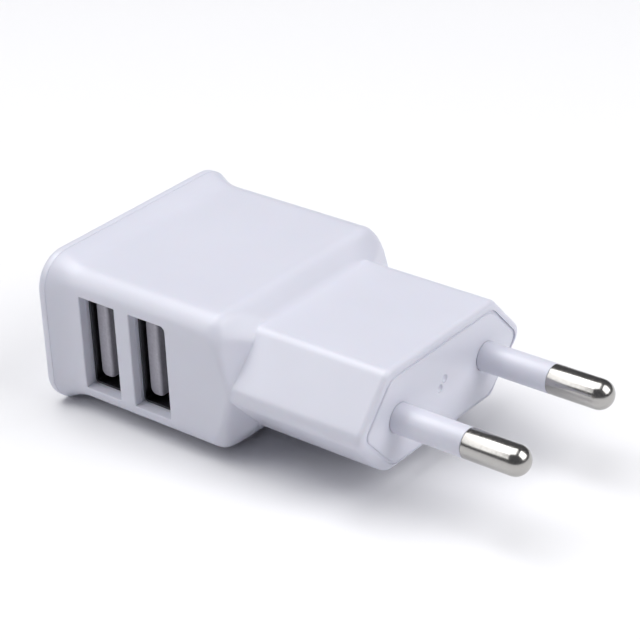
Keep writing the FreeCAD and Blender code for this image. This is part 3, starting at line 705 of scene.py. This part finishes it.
def build_pin_plate():
    """Six-sided plate on a slightly wider foot, so that the groove round it is only a shallow one."""
    size, pins = casing(), plug()
    inset = size.rim_wall + pins.plate_gap
    clearance = 0.02 * MM
    # The plate ends inside the foot: with their backs in one plane, the join comes out broken.
    plate = six_sided_bar("pin_plate_moulding", -size.plate_thick / 2, 0, inset, *PLATE_ROUNDS)
    bevel_rim(plate, 0, 0.0, pins.plate_chamfer, 3)
    foot = six_sided_bar("foot", -size.plate_thick, -pins.groove_depth, size.rim_wall + clearance,
                         *SEAT_ROUNDS)
    combine(plate, foot, "UNION")
    for side in (-1, 1):
        boss = add_rod("boss", PLATE_BACK, -size.plate_thick + 0.5 * MM, side * PIN_Y, 0, pins.boss_r)
        combine(plate, boss, "UNION")
    for side in (-1, 1):
        root = add_rod("root_hole", -pins.sleeve_depth, MM, side * PIN_Y, 0, pins.root_r)
        combine(plate, root, "DIFFERENCE")
        ring = add_rod("sleeve_ring", -pins.ring_depth, MM, side * PIN_Y, 0, PIN_R + 0.06 * MM, 72)
        combine(plate, ring, "DIFFERENCE")
        stem = add_rod("stem_hole", PLATE_BACK - MM, -pins.sleeve_depth + 0.1 * MM, side * PIN_Y, 0,
                       pins.stem_r)
        combine(plate, stem, "DIFFERENCE")
    for y, z in GATE_MARKS:
        combine(plate, add_dimple(y * MM, z * MM, pins.gate_mark_r, pins.gate_mark_depth), "DIFFERENCE")
    return finish_mesh(plate)


def add_dimple(y, z, radius, depth):
    """A ball that cuts a shallow round dimple of a radius and depth in the plug face."""
    ball = (radius ** 2 + depth ** 2) / (2 * depth)
    leave_edit_mode()
    bpy.ops.object.select_all(action="DESELECT")
    bpy.ops.mesh.primitive_uv_sphere_add(segments=64, ring_count=64, radius=ball,
                                         location=(ball - depth, y, z), rotation=(0, math.pi / 2, 0))
    return start("dimple")


# ---------------------------------------------------------------- plug pins
def build_plug_pin():
    """Right-hand pin: a cylinder with a fully rounded tip, drawn down to the stem, flange and tail."""
    pins = plug()
    tail, tip = span("plug_pin_right", 0)
    flange_r = span("plug_pin_right", 2)[1]
    flange_thick, tail_r = 0.8 * MM, 1.0 * MM
    pin = add_rod("plug_pin_right_metal", SLEEVE_END, PIN_TIP, PIN_Y, 0, PIN_R, 72)
    bevel_rim(pin, 0, PIN_TIP, PIN_R * 0.985, 20)
    pick(pin, "face", lambda face: face.normal.x < -0.99)
    axis_point = (SLEEVE_END, PIN_Y, 0)
    flange_x = PLATE_BACK

    def neck_down(radius_from, radius_to):
        scale = radius_to / radius_from
        bpy.ops.mesh.extrude_region_move(TRANSFORM_OT_translate={"value": (0, 0, 0)})
        bpy.ops.transform.resize(value=(1, scale, scale), center_override=axis_point)

    def draw_out(distance):
        bpy.ops.mesh.extrude_region_move(TRANSFORM_OT_translate={"value": (-distance, 0, 0)})

    neck_down(PIN_R, pins.stem_r)
    draw_out(SLEEVE_END - flange_x)
    neck_down(pins.stem_r, flange_r)
    draw_out(flange_thick)
    neck_down(flange_r, tail_r)
    draw_out(flange_x - flange_thick - tail)
    bevel_rim(pin, 0, SLEEVE_END, pins.joint_edge, 3)
    bevel_rim(pin, 0, tail, 0.2 * MM, 3)
    return finish_mesh(pin, 40)


def build_pin_sleeve():
    pins = plug()
    back = -pins.sleeve_depth
    sleeve = add_rod("pin_sleeve_right_tube", 0, SLEEVE_END, PIN_Y, 0, PIN_R, 72)
    bevel_rim(sleeve, 0, SLEEVE_END, pins.joint_edge, 3)
    root = add_rod("root", back, 0.5 * MM, PIN_Y, 0, pins.root_r, 72)
    combine(sleeve, root, "UNION")
    bore = add_rod("bore", back - MM, SLEEVE_END + MM, PIN_Y, 0, pins.stem_r + 0.01 * MM, 72)
    combine(sleeve, bore, "DIFFERENCE")
    return finish_mesh(sleeve, 40)


# ---------------------------------------------------------------- USB sockets
def build_socket_shell(socket):
    """Folded sheet: a rounded tube with four solder legs."""
    low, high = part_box(socket + "_shell")
    centre_x = (low.x + high.x) / 2
    rear = span("usb_board", 1)[0]
    wall = 0.3 * MM
    shell = socket_bar(socket + "_shell_steel", centre_x, low.y, rear, high.x - low.x, high.z - low.z,
                       0.6 * MM)
    hollow = socket_bar("hollow", centre_x, low.y - MM, rear + MM, high.x - low.x - 2 * wall,
                        high.z - low.z - 2 * wall, 0.3 * MM)
    combine(shell, hollow, "DIFFERENCE")
    for side in (-1, 1):
        for z in (-4.5, 4.5):
            middle = centre_x + side * (high.x - low.x - wall) / 2
            leg = add_box("leg", (middle - wall / 2, rear - 0.2 * MM, (z - 0.6) * MM),
                          (middle + wall / 2, high.y, (z + 0.6) * MM))
            combine(shell, leg, "UNION")
    return finish_mesh(shell)


def build_socket_insulator(socket):
    """Rear block and tongue, with a groove for each contact."""
    low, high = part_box(socket + "_insulator")
    shell_low, shell_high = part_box(socket + "_shell")
    centre_x = (shell_low.x + shell_high.x) / 2
    face = span(socket + "_contact_springs", 0)[1] - CONTACT_STAND
    block_front = high.y - 4.0 * MM
    block = socket_bar(socket + "_insulator_body", centre_x, block_front, high.y, high.x - low.x,
                       high.z - low.z, 0.3 * MM)
    tongue = add_box("tongue", (face - 1.84 * MM, low.y, -5.5 * MM), (face, block_front + 0.5 * MM, 5.5 * MM))
    pick(tongue, "edge", lambda edge: along(edge, 1) and centre(edge).x < face - MM)
    bevel(0.8 * MM, 8)
    pick(tongue, "edge", lambda edge: along(edge, 2) and centre(edge).x > face - 0.1 * MM
         and centre(edge).y < low.y + 0.1 * MM)
    bevel(0.45 * MM, 6)
    bevel_rim(tongue, 1, low.y, 0.12 * MM, 3)
    combine(block, tongue, "UNION")
    for z in CONTACT_ROWS:
        groove = add_box("groove", (face - 1.25 * MM, low.y + 1.75 * MM, (z - 0.65) * MM),
                         (face + 0.5 * MM, block_front, (z + 0.65) * MM))
        combine(block, groove, "DIFFERENCE")
        tail_slot = add_box("tail_slot", (face - 0.31 * MM, block_front - 0.4 * MM, (z - 0.51) * MM),
                            (face - 0.09 * MM, high.y + MM, (z + 0.51) * MM))
        combine(block, tail_slot, "DIFFERENCE")
    return finish_mesh(block)


def build_contact_springs(socket):
    """Four strips: straight from the hinge, up to a round contact bend, and back to a tucked tip."""
    low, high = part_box(socket + "_contact_springs")
    face = high.x - CONTACT_STAND
    outer = face - 0.1 * MM
    thick = 0.2 * MM
    apex_y, bend_y = -12.2 * MM, -10.6 * MM
    strips = []
    for index, z in enumerate(CONTACT_ROWS):
        strip = add_box(socket + "_contacts" + ("" if index == 0 else str(index)),
                        (outer - thick, bend_y, (z - 0.5) * MM), (outer, high.y, (z + 0.5) * MM))
        for step in ((high.x - outer, apex_y - bend_y, 0),
                     (face - 0.5 * MM - high.x, low.y - apex_y, 0)):
            pick(strip, "face", lambda end: end.normal.y < -0.6
                 and abs(min(v.co.y for v in end.verts)
                         - min(v.co.y for v in bmesh.from_edit_mesh(strip.data).verts)) < 1e-6)
            bpy.ops.mesh.extrude_region_move(TRANSFORM_OT_translate={"value": step})
        pick(strip, "edge", lambda edge: along(edge, 2) and min(abs(centre(edge).y - apex_y),
                                                               abs(centre(edge).y - bend_y)) < 1e-6)
        bevel(0.35 * MM, 4)
        strips.append(strip)
    leave_edit_mode()
    bpy.ops.object.select_all(action="DESELECT")
    for strip in strips:
        strip.select_set(True)
    bpy.context.view_layer.objects.active = strips[0]
    bpy.ops.object.join()
    return finish_mesh(strips[0])


# ---------------------------------------------------------------- operators
class CHARGER_OT_casing(bpy.types.Operator):
    """Build the housing, rear cover and pin plate"""
    bl_idname = "charger.casing"
    bl_label = "Casing"

    def execute(self, context):
        plastic = polycarbonate_gloss_moulded()
        settle(build_housing(), BODY, "housing", plastic)
        settle(build_rear_cover(), BODY, "rear_cover", plastic)
        settle(build_pin_plate(), BODY, "pin_plate", plastic)
        return {"FINISHED"}


class CHARGER_OT_plug(bpy.types.Operator):
    """Build the two plug pins and their sleeves"""
    bl_idname = "charger.plug"
    bl_label = "Plug pins"

    def execute(self, context):
        nickel = nickel_plate_polished()
        plastic = bpy.data.materials["polycarbonate_gloss_moulded"]
        pin, sleeve = build_plug_pin(), build_pin_sleeve()
        across = (0, -2 * PIN_Y, 0)
        settle(copy_piece(pin, "plug_pin_left_metal", across), BODY, "plug_pin_left", nickel)
        settle(copy_piece(sleeve, "pin_sleeve_left_tube", across), BODY, "pin_sleeve_left",
               plastic)
        settle(pin, BODY, "plug_pin_right", nickel)
        settle(sleeve, BODY, "pin_sleeve_right", plastic)
        return {"FINISHED"}


class CHARGER_OT_sockets(bpy.types.Operator):
    """Build the USB sockets with their sprung contacts"""
    bl_idname = "charger.sockets"
    bl_label = "USB sockets"

    def execute(self, context):
        steel = tin_plated_steel_painted_shade()
        plastic = liquid_crystal_polymer_moulded()
        gold = speckled("bronze_gold_plated", "#D8B25A", "#CFA64E", 0.25, 0.3, 0.0005, metallic=1.0)
        for socket in SOCKETS:
            settle(build_socket_shell(socket), BODY, socket + "_shell", steel)
            settle(build_socket_insulator(socket), BODY, socket + "_insulator", plastic)
            settle(build_contact_springs(socket), socket + "_contacts", socket + "_contact_springs",
                   gold)
        return {"FINISHED"}


class CHARGER_OT_circuit(bpy.types.Operator):
    """Finish the boards and components inside"""
    bl_idname = "charger.circuit"
    bl_label = "Circuit"

    def execute(self, context):
        finishes = {
            "contact_bronze": speckled("phosphor_bronze_stamped", "#C09A58", "#B08A4A", 0.3, 0.4, 0.001,
                                       metallic=1.0),
            "gold_bronze": bpy.data.materials["bronze_gold_plated"],
            "circuit_board": speckled("glass_epoxy_solder_masked", "#17562E", "#1B6034", 0.35, 0.5, 0.004),
            "film": speckled("polyester_film_calendered", "#D9D2B8", "#D2CAAE", 0.3, 3.0, 0.002),
            "capacitor_sleeve": speckled("pvc_sleeve_shrunk", "#15181E", "#1B1F27", 0.3, 2.0, 0.006),
            "resistor_body": speckled("flameproof_coat_dipped", "#4F7A5C", "#587F62", 0.5, 0.5, 0.01),
            "inductor_body": speckled("shrink_tube_ribbed", "#2B2F33", "#33373B", 0.45, 0.6, 0.01),
            "tinned_metal": speckled("copper_wire_tinned", "#C3C3C6", "#B7B7BB", 0.25, 0.3, 0.001,
                                     metallic=1.0),
            "ferrite": speckled("ferrite_sintered_ground", "#262628", "#303033", 0.55, 0.3, 0.006),
            "bobbin_plastic": speckled("phenolic_moulded", "#161616", "#1D1C1B", 0.45, 0.5, 0.004),
            "copper_wire": speckled("enamelled_copper_wound", "#A85A2C", "#B86A38", 0.3, 0.25, 0.02,
                                    metallic=0.7),
            "yellow_tape": speckled("polyester_tape_wrapped", "#E6C22A", "#DDB922", 0.3, 2.0, 0.003),
            "blue_ceramic": speckled("epoxy_dipped_disc", "#1F4C9C", "#2453A4", 0.3, 0.8, 0.008),
            "chip_epoxy": speckled("epoxy_transfer_moulded", "#101011", "#171718", 0.5, 0.2, 0.004),
            "chip_resistor": speckled("alumina_glazed", "#141414", "#1C1C1C", 0.35, 0.3, 0.002),
            "chip_capacitor": speckled("titanate_sintered", "#94714A", "#8A6840", 0.5, 0.3, 0.003),
        }
        slots = {entry["node"]: entry["material_slot"] for entry in frame["record"]["subparts"]}
        for name, node in frame["nodes"].items():
            if not node.hide_render:
                node.data.materials.clear()
                node.data.materials.append(finishes[slots[name]])
        return {"FINISHED"}


def add_softbox(name, place, aim, width, height, power, turn=0):
    """A soft rectangular light that points at a place, turned about its own axis by some degrees."""
    bpy.ops.object.select_all(action="DESELECT")
    bpy.ops.object.light_add(type="AREA", location=place)
    lamp = bpy.context.object
    lamp.name = name
    lamp.data.shape = "RECTANGLE"
    lamp.data.size = width
    lamp.data.size_y = height
    lamp.data.energy = power
    facing = (Vector(aim) - Vector(place)).to_track_quat("-Z", "Y")
    lamp.rotation_euler = (facing @ Quaternion((0, 0, 1), math.radians(turn))).to_euler()
    return lamp


class CHARGER_OT_stage(bpy.types.Operator):
    """Set up the floor, the studio light and the camera"""
    bl_idname = "charger.stage"
    bl_label = "Stage"

    def execute(self, context):
        leave_edit_mode()
        scene = context.scene
        scene.view_settings.view_transform = "Standard"
        bpy.ops.object.select_all(action="DESELECT")
        bpy.ops.mesh.primitive_plane_add(size=4.0, location=(0, 0, cad_box[0].z))
        floor = bpy.context.object
        floor.name = "studio_floor"
        material, tree, shader = new_material("paper_sweep_matt", colours().floor, 0.9)
        bump(tree, shader, grain(tree, 1.5, 2.0), 0.01, 0.1)
        floor.data.materials.append(material)
        world = bpy.data.worlds.new("studio")
        scene.world = world
        world.use_nodes = True
        background = world.node_tree.nodes["Background"]
        background.inputs["Color"].default_value = linear("#F2F2FA")
        background.inputs["Strength"].default_value = 0.12
        aim = (-0.017, 0, 0)
        add_softbox("left_softbox", (-0.35, -0.20, 0.445), aim, 0.9, 0.24, 1.45, turn=-44)
        add_softbox("right_softbox", (0.43, 0.16, 0.39), aim, 0.48, 0.48, 2.5)
        add_softbox("overhead_softbox", (-0.16, -0.04, 0.60), aim, 0.56, 0.56, 2.65)
        bpy.ops.object.camera_add()
        camera = bpy.context.object
        camera.name = "studio_camera"
        place_camera(camera)
        scene.camera = camera
        return {"FINISHED"}


def place_camera(camera):
    """Looks at the charger from its plug end and socket side, from above, a little rolled."""
    azimuth, elevation, roll = (math.radians(value) for value in (39.18, 28.52, -2.40))
    back = Vector((math.sin(azimuth) * math.cos(elevation), -math.cos(azimuth) * math.cos(elevation),
                   math.sin(elevation)))
    right = Vector((math.cos(azimuth), math.sin(azimuth), 0))
    up = back.cross(right)
    rolled_right = right * math.cos(roll) + up * math.sin(roll)
    rolled_up = up * math.cos(roll) - right * math.sin(roll)
    camera.location = Vector((142.05, -198.14, 142.36)) * MM
    camera.rotation_euler = Matrix((rolled_right, rolled_up, back)).transposed().to_euler()
    camera.data.lens = 126.76
    camera.data.sensor_width = 36.0
    camera.data.clip_start = 0.01
    camera.data.dof.use_dof = False


class CHARGER_PT_sidebar(bpy.types.Panel):
    """Lists the pieces of the charger and the sizes they take"""
    bl_label = "Wall charger"
    bl_idname = "CHARGER_PT_sidebar"
    bl_space_type = "VIEW_3D"
    bl_region_type = "UI"
    bl_category = "Charger"

    def draw(self, context):
        for operator in OPERATORS:
            self.layout.operator(operator.bl_idname)
        for group_name, group in GROUPS.items():
            box = self.layout.box()
            for setting in group.__annotations__:
                box.prop(getattr(context.scene, group_name), setting)


OPERATORS = (CHARGER_OT_casing, CHARGER_OT_plug, CHARGER_OT_sockets, CHARGER_OT_circuit, CHARGER_OT_stage)
CLASSES = tuple(GROUPS.values()) + OPERATORS + (CHARGER_PT_sidebar,)


def register():
    for cls in CLASSES:
        bpy.utils.register_class(cls)
    for name, group in GROUPS.items():
        setattr(bpy.types.Scene, name, bpy.props.PointerProperty(type=group))


def unregister():
    for name in GROUPS:
        delattr(bpy.types.Scene, name)
    for cls in reversed(CLASSES):
        bpy.utils.unregister_class(cls)


def main():
    register()
    bpy.ops.charger.casing()
    bpy.ops.charger.plug()
    bpy.ops.charger.sockets()
    bpy.ops.charger.circuit()
    bpy.ops.charger.stage()


if __name__ == "__main__":
    main()
